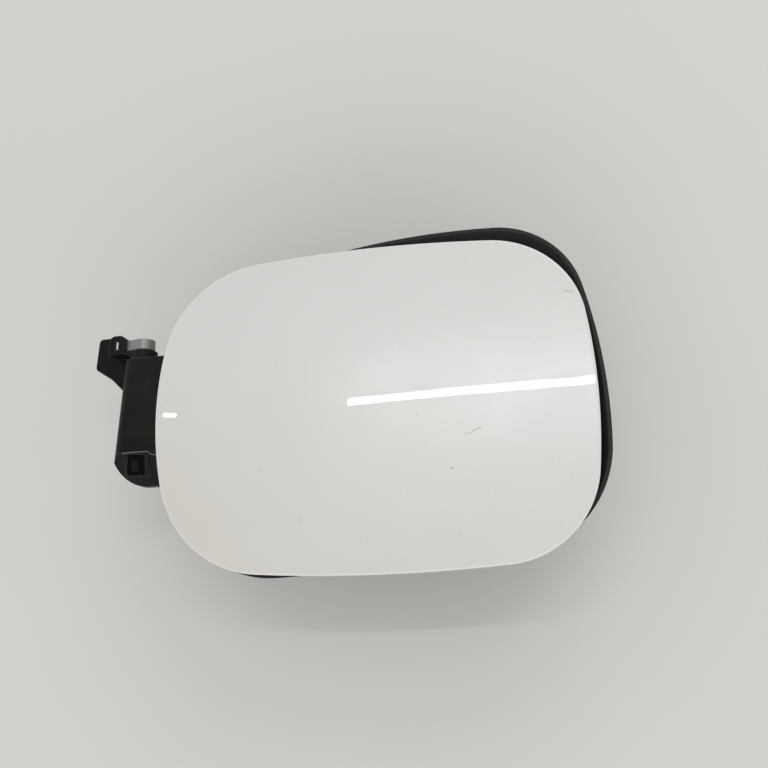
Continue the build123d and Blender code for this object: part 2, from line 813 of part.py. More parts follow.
# Steel sleeves for the body's studs, pressed into the ledge
for number, plane in enumerate(stud_planes, 1):
    with BuildPart() as stud_sleeve:
        with BuildSketch(plane.offset(ledge_low_z)):
            with Locations((0, stud_out)):
                Circle(stud_hole_radius + stud_sleeve_wall)
                Circle(stud_hole_radius, mode=Mode.SUBTRACT)
        extrude(amount=ledge_wall)
    stud_sleeve.part.label = f"stud_sleeve_{number}"
    export_step(stud_sleeve.part, f"parts/stud_sleeve_{number}.step")

# Rim seal: a lip that flares out from a channel around the ledge's edge
with BuildPart() as seal_throat:
    with BuildSketch(Plane.XY.offset(ledge_z - seal_wall / 2)):
        add(inset(rim_outline, seal_reach + seal_wall / 2))
    with BuildSketch(Plane.XY.offset(lip_z)):
        add(inset(rim_outline, seal_wall))
    loft()

with BuildPart() as rim_seal:
    with BuildSketch(Plane.XY.offset(ledge_z - seal_wall / 2)):
        add(inset(rim_outline, seal_reach - seal_wall))
    with BuildSketch(Plane.XY.offset(lip_z)):
        add(rim_outline)
    loft()
    add(seal_throat.part, mode=Mode.SUBTRACT)
    with BuildSketch(Plane.XY.offset(ledge_low_z - seal_wall)):
        add(inset(rim_outline, seal_reach - seal_wall))
        add(inset(rim_outline, seal_reach + seal_grip), mode=Mode.SUBTRACT)
    extrude(amount=ledge_wall + 2 * seal_wall)
    with BuildSketch(Plane.XY.offset(ledge_low_z - fit_gap)):
        add(inset(rim_outline, seal_reach - fit_gap))
    extrude(amount=ledge_wall + 2 * fit_gap, mode=Mode.SUBTRACT)
    # the ring is open where the hinge pod breaks through the rim
    with BuildSketch(Plane.XY.offset(ledge_low_z - 2 * seal_wall)):
        with Locations((-half_width, pod_low_y - axial_gap)):
            Rectangle(
                2 * half_width / 3,
                pod_top_y - pod_low_y + 2 * axial_gap,
                align=(Align.CENTER, Align.MIN),
            )
    extrude(amount=flap_depth + seal_rise, mode=Mode.SUBTRACT)

rim_seal.part.label = "rim_seal"
export_step(rim_seal.part, "parts/rim_seal.step")

# Neck collar: rubber sleeve with a groove around the floor's opening
sleeve_radius = neck_radius + sleeve_wall
groove_radius = collar_hole_radius - fit_gap
flange_radius = collar_hole_radius + collar_flange
groove_low_z = floor_z - bowl_wall - fit_gap
groove_high_z = floor_z + fit_gap
collar_top_z = groove_high_z + collar_flange_wall
with BuildPart() as neck_collar:
    with BuildSketch(Plane.XZ):
        with BuildLine():
            Polyline(
                (neck_radius, 0),
                (sleeve_radius, 0),
                (sleeve_radius, sleeve_height),
                (flange_radius, groove_low_z - collar_flange_wall),
                (flange_radius, groove_low_z),
                (groove_radius, groove_low_z),
                (groove_radius, groove_high_z),
                (flange_radius, groove_high_z),
                (flange_radius - collar_flange_wall / 2, collar_top_z),
                (sleeve_radius, collar_top_z),
                (neck_radius + collar_funnel, collar_top_z - collar_funnel),
                (neck_radius, groove_low_z),
                close=True,
            )
        make_face()
    revolve(axis=Axis.Z)

neck_collar.part.label = "neck_collar"
export_step(neck_collar.part, "parts/neck_collar.step")

# Clamp: steel band around the sleeve with a pinched ear
clamp_inner = sleeve_radius + fit_gap
with BuildPart() as collar_clamp:
    with BuildSketch(Plane.XY.offset((sleeve_height - clamp_width) / 2)):
        Circle(clamp_inner + clamp_wall)
        with Locations((clamp_inner + clamp_wall / 2, 0)):
            SlotOverall(2 * clamp_ear, clamp_ear)
            SlotOverall(
                2 * clamp_ear - 2 * clamp_wall,
                clamp_ear - 2 * clamp_wall,
                mode=Mode.SUBTRACT,
            )
        Circle(clamp_inner, mode=Mode.SUBTRACT)
    extrude(amount=clamp_width)

collar_clamp.part.label = "collar_clamp"
export_step(collar_clamp.part, "parts/collar_clamp.step")

# Snap plug in the pod's lower end, with a hook bar across it
with BuildPart() as pin_end_plug:
    with BuildSketch(plug_plane.offset(-plug_sink)):
        Rectangle(plug_width, plug_length)
    extrude(amount=plug_sink - pod_wall)
    chamfer(pin_end_plug.faces().sort_by(Axis.Z)[-1].edges(), plug_edge)
    with BuildSketch(plug_plane.offset(-pod_wall)):
        with Locations((0, plug_lip / 2)):
            Rectangle(plug_width - 2 * plug_lip, plug_lip)
    extrude(amount=pod_wall)

pin_end_plug.part.label = "pin_end_plug"
export_step(pin_end_plug.part, "parts/pin_end_plug.step")

# Return spring: a strip wound around the pin, its tail hooked through the bracket
with BuildPart() as return_spring:
    with BuildSketch(along_y.offset(-(spring_low_y + spring_width))):
        with BuildLine():
            step = (spring_radius - spring_inner_radius) / spring_half_turns
            for i in range(spring_half_turns):
                near = spring_inner_radius + i * step
                far = near + step
                side = 1 - 2 * (i % 2)
                ThreePointArc(
                    (pivot_x + side * near, pivot_z),
                    (pivot_x + side * (near - far) / 2, pivot_z + side * (near + far) / 2),
                    (pivot_x - side * far, pivot_z),
                )
            CenterArc((pivot_x, pivot_z), spring_radius, 0, spring_leave)
            spring_tail_path(0)
        trace(line_width=spring_wall)
    extrude(amount=spring_width)

return_spring.part.label = "return_spring"
export_step(return_spring.part, "parts/return_spring.step")

# Rubber stop under the pod's front, which the arm's webs meet when the flap is open
with BuildPart() as open_stop:
    with BuildSketch(Plane.XY.offset(pod_front_z - pod_wall - stop_wall)):
        with Locations((pod_mouth_x - stop_length / 2 - hub_gap, web_ys[1])):
            RectangleRounded(stop_length, web_ys[2] - web_ys[0] + arm_web, stop_wall)
    extrude(amount=stop_wall)

open_stop.part.label = "open_stop"
export_step(open_stop.part, "parts/open_stop.step")

# Lock: gasket, case with ears and connector socket, cover, screws and pin
with BuildPart() as lock_gasket:
    with BuildSketch(along_x.offset(lock_pad_x)):
        with Locations((lock_y, lock_z)):
            Circle(lock_boss_radius)
            Circle(lock_pin_radius + lock_pin_gap, mode=Mode.SUBTRACT)
    extrude(amount=lock_gasket_wall)

lock_gasket.part.label = "lock_gasket"
export_step(lock_gasket.part, "parts/lock_gasket.step")

case_back_x = case_x + lock_case_length
ear_height = 2 * (lock_screw_radius + 2 * lock_gasket_wall)
with BuildPart() as lock_case:
    with BuildSketch(along_x.offset(case_x)):
        with Locations((lock_y, lock_z)):
            RectangleRounded(lock_case_width, lock_case_height, lock_corner)
    extrude(amount=lock_case_length)
    with BuildSketch(along_x.offset(case_x)):
        with Locations((lock_y, lock_z)):
            SlotOverall(lock_screw_pitch + ear_height, ear_height)
    extrude(amount=lock_ear_wall)
    with BuildSketch(along_x.offset(case_x)):
        with Locations([(y, lock_z) for y in side_screw_ys]):
            Circle(lock_screw_radius + fit_gap)
    extrude(amount=lock_ear_wall, mode=Mode.SUBTRACT)
    with BuildSketch(along_x.offset(case_x)):
        with Locations((lock_y, lock_z)):
            Circle(lock_pin_radius + lock_pin_gap)
    extrude(amount=lock_case_length, mode=Mode.SUBTRACT)
    with BuildSketch(Plane.XY.offset(lock_z - lock_case_height / 2 - socket_length)):
        with Locations((case_x + lock_case_length / 2, lock_y)):
            Rectangle(socket_height, socket_width)
    extrude(amount=socket_length)
    with BuildSketch(Plane.XY.offset(lock_z - lock_case_height / 2 - socket_length)):
        with Locations((case_x + lock_case_length / 2, lock_y)):
            Rectangle(socket_height - 2 * socket_wall, socket_width - 2 * socket_wall)
    extrude(amount=socket_length - socket_wall, mode=Mode.SUBTRACT)

lock_case.part.label = "lock_case"
export_step(lock_case.part, "parts/lock_case.step")

with BuildPart() as lock_cover:
    with BuildSketch(along_x.offset(case_back_x)):
        with Locations((lock_y, lock_z)):
            RectangleRounded(lock_case_width, lock_case_height, lock_corner)
    extrude(amount=lock_cover_wall)
    chamfer(lock_cover.faces().sort_by(Axis.X)[-1].edges(), lock_cover_wall / 4)

lock_cover.part.label = "lock_cover"
export_step(lock_cover.part, "parts/lock_cover.step")

for number, screw_y in enumerate(side_screw_ys, 1):
    head_x = case_x + lock_ear_wall
    with BuildPart() as lock_screw:
        with BuildSketch(along_x.offset(head_x)):
            with Locations((screw_y, lock_z)):
                Circle(lock_screw_head)
        extrude(amount=lock_screw_head_height)
        chamfer(lock_screw.faces().sort_by(Axis.X)[-1].edges(), lock_screw_head_height / 4)
        with BuildSketch(along_x.offset(head_x + lock_screw_head_height)):
            with Locations((screw_y, lock_z)):
                RegularPolygon(lock_screw_radius, 6)
        extrude(amount=-lock_screw_head_height / 2, mode=Mode.SUBTRACT)
        with BuildSketch(along_x.offset(head_x)):
            with Locations((screw_y, lock_z)):
                Circle(lock_screw_radius)
        extrude(amount=-(lock_ear_wall + 0.9 * lock_screw_depth))
    lock_screw.part.label = f"lock_screw_{number}"
    export_step(lock_screw.part, f"parts/lock_screw_{number}.step")

with BuildPart() as lock_pin:
    with BuildSketch(along_x.offset(lock_tip_x)):
        with Locations((lock_y, lock_z)):
            Circle(lock_pin_radius)
    extrude(amount=case_back_x - lock_ear_wall - lock_tip_x)
    fillet(lock_pin.faces().sort_by(Axis.X)[0].edges(), 0.6 * lock_pin_radius)

lock_pin.part.label = "lock_pin"
export_step(lock_pin.part, "parts/lock_pin.step")

# Striker: steel angle riveted under the carrier, with a window for the lock pin
with BuildPart() as lock_striker:
    with BuildSketch(along_y.offset(-(lock_y + striker_width / 2))) as angle:
        with BuildLine():
            Polyline(
                (striker_foot_x, carrier_z),
                (striker_x + striker_wall, carrier_z),
                (striker_x + striker_wall, striker_low_z),
                (striker_x, striker_low_z),
                (striker_x, carrier_z - striker_wall),
                (striker_foot_x, carrier_z - striker_wall),
                close=True,
            )
        make_face()
    extrude(amount=striker_width)
    fillet(
        lock_striker.edges().filter_by(Axis.Y).sort_by(Axis.X)[-2:].sort_by(Axis.Z)[-1],
        striker_wall,
    )
    with BuildSketch(along_x.offset(striker_x)):
        with Locations((lock_y, lock_z)):
            RectangleRounded(striker_window, striker_window, lock_corner / 2)
    extrude(amount=striker_wall, mode=Mode.SUBTRACT)
    with BuildSketch(Plane.XY.offset(carrier_z - striker_wall)):
        with Locations([(rivet_x, y) for y in rivet_ys]):
            Circle(rivet_radius + fit_gap)
    extrude(amount=striker_wall, mode=Mode.SUBTRACT)

lock_striker.part.label = "lock_striker"
export_step(lock_striker.part, "parts/lock_striker.step")

for number, rivet_y in enumerate(rivet_ys, 1):
    with BuildPart() as striker_rivet:
        with BuildSketch(Plane.XY.offset(carrier_z - striker_wall)):
            with Locations((rivet_x, rivet_y)):
                Circle(rivet_head)
        extrude(amount=-rivet_head_height)
        fillet(striker_rivet.faces().sort_by(Axis.Z)[0].edges(), 0.7 * rivet_head_height)
        with BuildSketch(Plane.XY.offset(carrier_z - striker_wall)):
            with Locations((rivet_x, rivet_y)):
                Circle(rivet_radius)
        extrude(amount=striker_wall + 0.9 * carrier_wall)
    striker_rivet.part.label = f"striker_rivet_{number}"
    export_step(striker_rivet.part, f"parts/striker_rivet_{number}.step")

# Buffers that meet the ledge when the flap is shut
buffer_x = flap_width / 2 - buffer_inset
for number, side in enumerate((-1, 1), 1):
    with BuildPart() as flap_buffer:
        with BuildSketch(Plane.XY.offset(ledge_z + buffer_gap)):
            with Locations((buffer_x, side * buffer_spread / 2)):
                Circle(buffer_radius)
        extrude(amount=carrier_z - ledge_z - buffer_gap)
        fillet(flap_buffer.faces().sort_by(Axis.Z)[0].edges(), buffer_radius / 3)
    flap_buffer.part.label = f"flap_buffer_{number}"
    export_step(flap_buffer.part, f"parts/flap_buffer_{number}.step")

# Body clips: a folded strip over each tab under the ledge
for number, plane in enumerate(tab_planes, 1):
    fold_in = body_tab_wall / 2 + fit_gap + clip_wall / 2
    fold_low = ledge_low_z - body_tab_depth - fit_gap - clip_wall / 2
    fold_high = fold_low + body_clip_depth
    with BuildPart() as body_clip:
        with BuildSketch(Plane(plane.origin, x_dir=plane.y_dir, z_dir=plane.x_dir)):
            with BuildLine():
                Polyline(
                    (tab_out - fold_in, fold_high),
                    (tab_out - fold_in, fold_low),
                    (tab_out + fold_in, fold_low),
                    (tab_out + fold_in + body_clip_flare, fold_high),
                )
            trace(line_width=clip_wall)
        extrude(amount=body_clip_width / 2, both=True)
    body_clip.part.label = f"body_clip_{number}"
    export_step(body_clip.part, f"parts/body_clip_{number}.step")
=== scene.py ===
"""Looks of the car fuel door: finishes, small fittings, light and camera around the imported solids.

Frame: metres, origin on the filler neck's axis at the bowl's rear plane, +Z out of the car,
+X from the hinge to the free side, +Y up on the car.
"""

import json
import logging
import math
from dataclasses import dataclass, field
from enum import Enum
from typing import Any, Iterable

import bmesh
import bpy
from mathutils import Matrix, Vector

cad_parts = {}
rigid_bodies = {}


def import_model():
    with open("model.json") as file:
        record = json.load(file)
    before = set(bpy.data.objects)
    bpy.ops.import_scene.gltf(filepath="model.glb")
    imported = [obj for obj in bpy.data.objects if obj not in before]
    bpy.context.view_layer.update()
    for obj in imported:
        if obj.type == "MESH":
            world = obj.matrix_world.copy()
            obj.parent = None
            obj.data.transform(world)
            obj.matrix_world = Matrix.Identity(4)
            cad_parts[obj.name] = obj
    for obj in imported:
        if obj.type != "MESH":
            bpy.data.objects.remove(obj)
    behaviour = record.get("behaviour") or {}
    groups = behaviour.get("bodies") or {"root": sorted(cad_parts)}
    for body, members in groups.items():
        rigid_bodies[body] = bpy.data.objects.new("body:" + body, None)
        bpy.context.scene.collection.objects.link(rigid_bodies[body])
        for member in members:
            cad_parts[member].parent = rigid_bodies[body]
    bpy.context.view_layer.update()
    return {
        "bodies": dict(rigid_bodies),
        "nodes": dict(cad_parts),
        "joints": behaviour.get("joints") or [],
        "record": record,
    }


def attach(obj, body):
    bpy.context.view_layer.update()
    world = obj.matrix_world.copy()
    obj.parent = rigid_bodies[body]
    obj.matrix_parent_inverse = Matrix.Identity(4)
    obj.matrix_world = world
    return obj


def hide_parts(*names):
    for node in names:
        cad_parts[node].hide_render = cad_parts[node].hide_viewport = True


LOG = logging.getLogger("fuel_door")
MM = 0.001
CORNER_SEGMENTS = 4
EDGE_SEGMENTS = 2
EDGE_SAMPLES = 4
SAME_HEIGHT = 1e-6
RAMP_INPUTS = ("From Min", "From Max", "To Min", "To Max")
Colour = tuple[float, float, float]
Size = tuple[float, float, float]
Span = tuple[float, float]
Outline = tuple[Span, ...]


class Shape(Enum):
    """How a mark lies on the paint."""

    DOT = "dot"
    HAIRLINE = "hairline"
    SMUDGE = "smudge"


class Brush(Enum):
    """Axis along which a steel surface was drawn or turned."""

    X = (12.0, 900.0, 900.0)
    Y = (900.0, 12.0, 900.0)
    Z = (900.0, 900.0, 12.0)
    ROUND = (420.0, 420.0, 420.0)


@dataclass(frozen=True)
class Cloud:
    """Noise cut to a range, for patches, specks and dull places.

    Attributes:
        scale: waves per metre.
        detail: octaves.
        span: the noise's values between which the result changes.
    """

    scale: float
    detail: float
    span: Span = (0.3, 0.7)


class Shader:
    """One procedural material on Object coordinates, built around a Principled shader.

    The colour mixing node repeats its sockets' names, so they go by number.
    """

    MIX_INPUTS = (0, 6, 7)
    MIX_RESULT = 2

    def __init__(self, name: str) -> None:
        """Starts the material with its output, its shader and its coordinates.

        Args:
            name: the material's name.
        """
        self.material = bpy.data.materials.new(name)
        self.material.use_nodes = True
        self.tree = self.material.node_tree
        self.tree.nodes.clear()
        output = self.tree.nodes.new("ShaderNodeOutputMaterial")
        self.body = self.tree.nodes.new("ShaderNodeBsdfPrincipled")
        self.place = self.tree.nodes.new("ShaderNodeTexCoord").outputs["Object"]
        self.tree.links.new(self.body.outputs["BSDF"], output.inputs["Surface"])

    def node(self, kind: str, **inputs: Any) -> bpy.types.Node:
        """Adds a node and sets or links its inputs.

        Args:
            kind: the node's type, without its common prefix.
            inputs: input names with spaces as underscores; a socket is linked, a value is set.

        Returns:
            The new node.
        """
        node = self.tree.nodes.new("ShaderNode" + kind)
        for name, value in inputs.items():
            self.feed(node, name.replace("_", " "), value)
        return node

    def feed(self, node: bpy.types.Node, name: str | int, value: Any) -> None:
        """Links a socket into an input, or sets the input's value.

        Args:
            node: the node that takes the value.
            name: the input's name or number.
            value: a socket, a number or a colour.
        """
        if isinstance(value, bpy.types.NodeSocket):
            self.tree.links.new(value, node.inputs[name])
        else:
            node.inputs[name].default_value = value

    def stretch(self, scale: Size) -> bpy.types.NodeSocket:
        """Coordinates stretched along the axes."""
        mapping = self.node("Mapping", Vector=self.place, Scale=scale)
        return mapping.outputs["Vector"]

    def noise(self, scale: float, detail: float = 2.0, place: Any = None) -> bpy.types.NodeSocket:
        """Soft noise.

        Args:
            scale: waves per metre.
            detail: octaves.
            place: other coordinates than the object's own.

        Returns:
            The noise's value socket, about 0.2 to 0.8.
        """
        at = self.place if place is None else place
        return self.node("TexNoise", Vector=at, Scale=scale, Detail=detail).outputs["Fac"]

    def ramp(self, value: Any, span: Span, ends: Span) -> bpy.types.NodeSocket:
        """Maps a value between two limits to a range, clamped.

        Args:
            value: the socket to map.
            span: the value's limits.
            ends: the results at and beyond the limits.

        Returns:
            The mapped socket.
        """
        node = self.node("MapRange")
        for name, number in zip(RAMP_INPUTS, (*span, *ends)):
            node.inputs[name].default_value = number
        self.feed(node, "Value", value)
        return node.outputs["Result"]

    def cloud(self, cloud: Cloud, ends: Span) -> bpy.types.NodeSocket:
        """Noise cut to its span, with the results at the span's ends."""
        return self.ramp(self.noise(cloud.scale, cloud.detail), cloud.span, ends)

    def mix(self, share: Any, first: Any, second: Any) -> bpy.types.NodeSocket:
        """Mixes two colours.

        Args:
            share: share of the second colour.
            first: colour or socket.
            second: colour or socket.

        Returns:
            The mixed colour's socket.
        """
        node = self.node("Mix")
        node.data_type = "RGBA"
        for number, value in zip(self.MIX_INPUTS, (share, first, second)):
            if isinstance(value, tuple):
                value = (*value, 1.0)
            self.feed(node, number, value)
        return node.outputs[self.MIX_RESULT]

    def bump(self, height: Any, depth: float, below: Any = None) -> bpy.types.NodeSocket:
        """Small relief.

        Args:
            height: height socket, 0 to 1.
            depth: relief in metres.
            below: normal that the relief is laid on.

        Returns:
            The bent normal's socket.
        """
        node = self.node("Bump", Height=height, Distance=depth, Strength=1.0)
        if below is not None:
            self.feed(node, "Normal", below)
        return node.outputs["Normal"]

    def round_edges(self, radius: float) -> bpy.types.NodeSocket:
        """Normal of an edge that is worn round by a radius in metres."""
        node = self.node("Bevel", Radius=radius)
        node.samples = EDGE_SAMPLES
        return node.outputs["Normal"]

    def set(self, **values: Any) -> None:
        """Sets or links inputs of the shader itself."""
        for name, value in values.items():
            self.feed(self.body, name.replace("_", " "), value)


@dataclass(frozen=True)
class PaintMark:
    """A trace of use on the painted flap.

    Attributes:
        shape: how the mark lies.
        place: its middle, in metres.
        size: half length and half width, in metres.
        turn: angle of its length from +X, in degrees.
        strength: share of the mark's colour.
    """

    shape: Shape
    place: Size
    size: Span
    turn: float
    strength: float


@dataclass(frozen=True)
class PaintFinish:
    """Clear-coated pearl paint with dust and a few marks.

    Attributes:
        colour: the fresh paint.
        warm: the paint's warmer, darker tone towards lower_side_way.
        lower_side_span: way along lower_side_way over which the paint turns to the warmer, darker
            tone, in metres.
        lower_side_drift: how far the clouds shift that way.
        mark_reach: half height of the space that a mark fills.
        mark_fade: share of a mark's size over which its edge fades.
        smudge_fade: the same for a smudge.
    """

    name: str = "body_paint_coat"
    colour: Colour = (0.766, 0.770, 0.757)
    warm: Colour = (0.732, 0.710, 0.660)
    lower_side_way: Size = (-0.55, -0.83, 0.0)
    lower_side_span: Span = (-0.01, 0.085)
    lower_side_drift: float = 0.03
    lower_side_cloud: Cloud = Cloud(11.0, 3.0)
    pearl: float = 0.13
    flake: Cloud = Cloud(5200.0, 1.0, (0.62, 0.80))
    flake_colour: Colour = (0.78, 0.79, 0.80)
    flake_share: float = 0.10
    dust: Colour = (0.30, 0.285, 0.25)
    specks: Cloud = Cloud(640.0, 1.0, (0.735, 0.79))
    speck_share: float = 0.16
    film: Cloud = Cloud(26.0, 4.0, (0.4, 0.75))
    rough: Span = (0.30, 0.42)
    specular: float = 0.35
    coat_ior: float = 1.5
    coat_roughness: float = 0.022
    peel: float = 330.0
    peel_detail: float = 1.5
    peel_depth: float = 2.5e-6
    mark_reach: float = 4.0 * MM
    mark_fade: float = 0.35
    smudge_fade: float = 0.9
    marks: tuple[PaintMark, ...] = (
        PaintMark(Shape.HAIRLINE, (0.0431, -0.0150, 0.0774), (0.0042, 0.00028), 24.0, 0.42),
        PaintMark(Shape.HAIRLINE, (0.0458, -0.0139, 0.0774), (0.0016, 0.00022), 8.0, 0.36),
        PaintMark(Shape.DOT, (0.0340, -0.0292, 0.0772), (0.0007, 0.00055), 0.0, 0.55),
        PaintMark(Shape.DOT, (-0.0284, -0.0464, 0.0765), (0.0005, 0.0004), 0.0, 0.35),
        PaintMark(Shape.SMUDGE, (0.0847, 0.0406, 0.0752), (0.0032, 0.0008), -12.0, 0.40),
        PaintMark(Shape.SMUDGE, (0.0812, 0.0369, 0.0755), (0.0014, 0.0006), 30.0, 0.22),
    )

    def mark_mask(self, shader: Shader, mark: PaintMark) -> bpy.types.NodeSocket:
        """Mask of one mark.

        Args:
            shader: the paint's shader.
            mark: the mark.

        Returns:
            Socket that is the mark's strength in its middle and 0 outside it.
        """
        mapping = shader.node("Mapping", Vector=shader.place, Location=mark.place)
        mapping.vector_type = "TEXTURE"
        mapping.inputs["Rotation"].default_value = (0.0, 0.0, math.radians(mark.turn))
        mapping.inputs["Scale"].default_value = (*mark.size, self.mark_reach)
        ball = shader.node("TexGradient", Vector=mapping.outputs["Vector"])
        ball.gradient_type = "SPHERICAL"
        fade = self.smudge_fade if mark.shape is Shape.SMUDGE else self.mark_fade
        return shader.ramp(ball.outputs["Fac"], (0.0, fade), (0.0, mark.strength))

    def age(self, shader: Shader) -> bpy.types.NodeSocket:
        """Share of the warmer, darker tone, which grows in soft clouds towards the lower hinge side.

        Args:
            shader: the paint's shader.

        Returns:
            Socket from 0 to 1.
        """
        along = shader.node("VectorMath")
        along.operation = "DOT_PRODUCT"
        shader.feed(along, 0, shader.place)
        shader.feed(along, 1, self.lower_side_way)
        drift = shader.cloud(self.lower_side_cloud, (-self.lower_side_drift, self.lower_side_drift))
        total = shader.node("Math")
        shader.feed(total, 0, along.outputs["Value"])
        shader.feed(total, 1, drift)
        return shader.ramp(total.outputs["Value"], self.lower_side_span, (0.0, 1.0))

    def build(self) -> bpy.types.Material:
        """Makes the paint's material.

        Returns:
            The material.
        """
        shader = Shader(self.name)
        # the paint turns warmer and darker towards the lower hinge side
        colour = shader.mix(self.age(shader), self.colour, self.warm)
        flake = shader.cloud(self.flake, (0.0, self.flake_share))
        colour = shader.mix(flake, colour, self.flake_colour)
        specks = shader.cloud(self.specks, (0.0, self.speck_share))
        colour = shader.mix(specks, colour, self.dust)
        for mark in self.marks:
            colour = shader.mix(self.mark_mask(shader, mark), colour, self.dust)
        film = shader.cloud(self.film, self.rough)
        peel = shader.bump(shader.noise(self.peel, self.peel_detail), self.peel_depth)
        shader.set(Base_Color=colour, Roughness=film, Metallic=self.pearl)
        shader.set(Specular_IOR_Level=self.specular, Coat_Weight=1.0, Coat_IOR=self.coat_ior)
        shader.set(Coat_Roughness=self.coat_roughness, Coat_Normal=peel)
        return shader.material


@dataclass(frozen=True)
class MouldedFinish:
    """Moulded plastic or rubber with a fine grain, dust in patches and a painted highlight along
    edges.

    Attributes:
        grain: waves of the grain per metre.
        dust: share of dust in the patches.
        lint_gain: how much stronger the lint's specks are than the patches.
        edge: radius by which edges look rounded, in metres.
        edge_highlight: share of the paler tone on an edge, a painted highlight.
        highlight_span: cosines of the edge's turn between which the painted highlight ends.
    """

    name: str
    colour: Colour
    rough: Span = (0.42, 0.56)
    specular: float = 0.16
    grain: float = 1500.0
    grain_depth: float = 3.0e-5
    dust: float = 0.10
    dust_colour: Colour = (0.075, 0.073, 0.068)
    patches: Cloud = Cloud(38.0, 5.0, (0.45, 0.78))
    lint: Cloud = Cloud(820.0, 1.0, (0.74, 0.80))
    lint_gain: float = 2.2
    dull: Cloud = Cloud(70.0, 4.0)
    edge: float = 0.35 * MM
    edge_highlight: float = 0.0
    highlight_width: float = 0.6 * MM
    highlight_span: Span = (0.90, 0.99)
    highlight_colour: Colour = (0.11, 0.112, 0.115)

    def painted_edge_highlight(self, shader: Shader) -> bpy.types.NodeSocket:
        """Share of the paler tone along edges: a painted highlight where an edge would catch light.

        Args:
            shader: the moulding's shader.

        Returns:
            Socket that is the painted highlight's share on an edge and 0 on the flat.
        """
        turn = shader.node("VectorMath")
        turn.operation = "DOT_PRODUCT"
        shader.feed(turn, 0, shader.round_edges(self.highlight_width))
        shader.feed(turn, 1, shader.node("NewGeometry").outputs["Normal"])
        return shader.ramp(turn.outputs["Value"], self.highlight_span, (self.edge_highlight, 0.0))

    def build(self) -> bpy.types.Material:
        """Makes the material.

        Returns:
            The material.
        """
        shader = Shader(self.name)
        patches = shader.cloud(self.patches, (0.0, self.dust))
        colour = shader.mix(patches, self.colour, self.dust_colour)
        lint = shader.cloud(self.lint, (0.0, self.lint_gain * self.dust))
        colour = shader.mix(lint, colour, self.dust_colour)
        if self.edge_highlight:
            # painted highlight: a paler tone on every edge, where light would catch it
            colour = shader.mix(self.painted_edge_highlight(shader), colour, self.highlight_colour)
        rough = shader.cloud(self.dull, self.rough)
        rounded = shader.round_edges(self.edge)
        normal = shader.bump(shader.noise(self.grain), self.grain_depth, rounded)
        shader.set(Base_Color=colour, Roughness=rough, Normal=normal)
        shader.set(Specular_IOR_Level=self.specular)
        return shader.material


@dataclass(frozen=True)
class SteelFinish:
    """Drawn, turned or plated steel with faint lines and dull patches.

    Attributes:
        brush: how the lines run.
        line_span: the lines' values between which the roughness changes.
        stain_share: share of the stain in the patches.
        edge: radius by which edges look rounded, in metres.
    """

    name: str
    colour: Colour
    rough: Span = (0.34, 0.48)
    brush: Brush = Brush.ROUND
    line_detail: float = 3.0
    line_span: Span = (0.3, 0.7)
    line_depth: float = 4.0e-6
    stain: Colour = (0.16, 0.155, 0.145)
    stain_share: float = 0.30
    patches: Cloud = Cloud(110.0, 4.0, (0.48, 0.80))
    edge: float = 0.15 * MM

    def build(self) -> bpy.types.Material:
        """Makes the material.

        Returns:
            The material.
        """
        shader = Shader(self.name)
        lines = shader.noise(1.0, self.line_detail, shader.stretch(self.brush.value))
        patches = shader.cloud(self.patches, (0.0, self.stain_share))
        colour = shader.mix(patches, self.colour, self.stain)
        rough = shader.ramp(lines, self.line_span, self.rough)
        normal = shader.bump(lines, self.line_depth, shader.round_edges(self.edge))
        shader.set(Base_Color=colour, Roughness=rough, Normal=normal, Metallic=1.0)
        return shader.material


Finish = PaintFinish | MouldedFinish | SteelFinish

PAINT = PaintFinish()
BOWL_PLASTIC = MouldedFinish("bowl_moulding", (0.0052, 0.0052, 0.0053), edge_highlight=0.7)
CARRIER_PLASTIC = MouldedFinish("carrier_moulding", (0.0075, 0.0075, 0.0080), (0.36, 0.5), edge_highlight=0.4)
PLUG_PLASTIC = MouldedFinish("plug_moulding", (0.0052, 0.0052, 0.0053), edge_highlight=0.5)
# painted shade: near-black floor that stands for the shade in a deep recess
WELL_SHADE = MouldedFinish(
    "plug_well", (0.0022, 0.0022, 0.0023), (0.5, 0.6), specular=0.04, dust=0.02
)
BAR_PLASTIC = MouldedFinish(
    "plug_bar", (0.0038, 0.0038, 0.0040), (0.36, 0.46), specular=0.10, dust=0.03
)
# painted highlight: pale strip that stands for light caught on the pod's ridge
RIDGE_HIGHLIGHT_PLASTIC = MouldedFinish(
    "painted_ridge_highlight", (0.16, 0.163, 0.168), (0.3, 0.42), specular=0.4, dust=0.5
)
LOCK_PLASTIC = MouldedFinish("lock_moulding", (0.0150, 0.0152, 0.0160), edge_highlight=0.4)
SEAL_RUBBER = MouldedFinish(
    "seal_skin", (0.0135, 0.0140, 0.0137), (0.44, 0.56), specular=0.34, grain=2600.0, dust=0.05
)
COLLAR_RUBBER = MouldedFinish("collar_skin", (0.0100, 0.0100, 0.0100), (0.55, 0.7), grain=2200.0)
BUFFER_RUBBER = MouldedFinish("buffer_skin", (0.0130, 0.0130, 0.0130), (0.6, 0.75), dust=0.16)
GASKET_FOAM = MouldedFinish(
    "gasket_cells", (0.020, 0.020, 0.021), (0.8, 0.95), grain=900.0, grain_depth=1.2e-4
)
CLIP_NYLON = MouldedFinish("clip_nylon", (0.56, 0.545, 0.49), dust=0.0)
SPRING_STEEL = SteelFinish("spring_strip", (0.325, 0.330, 0.320), (0.40, 0.55), Brush.Z)
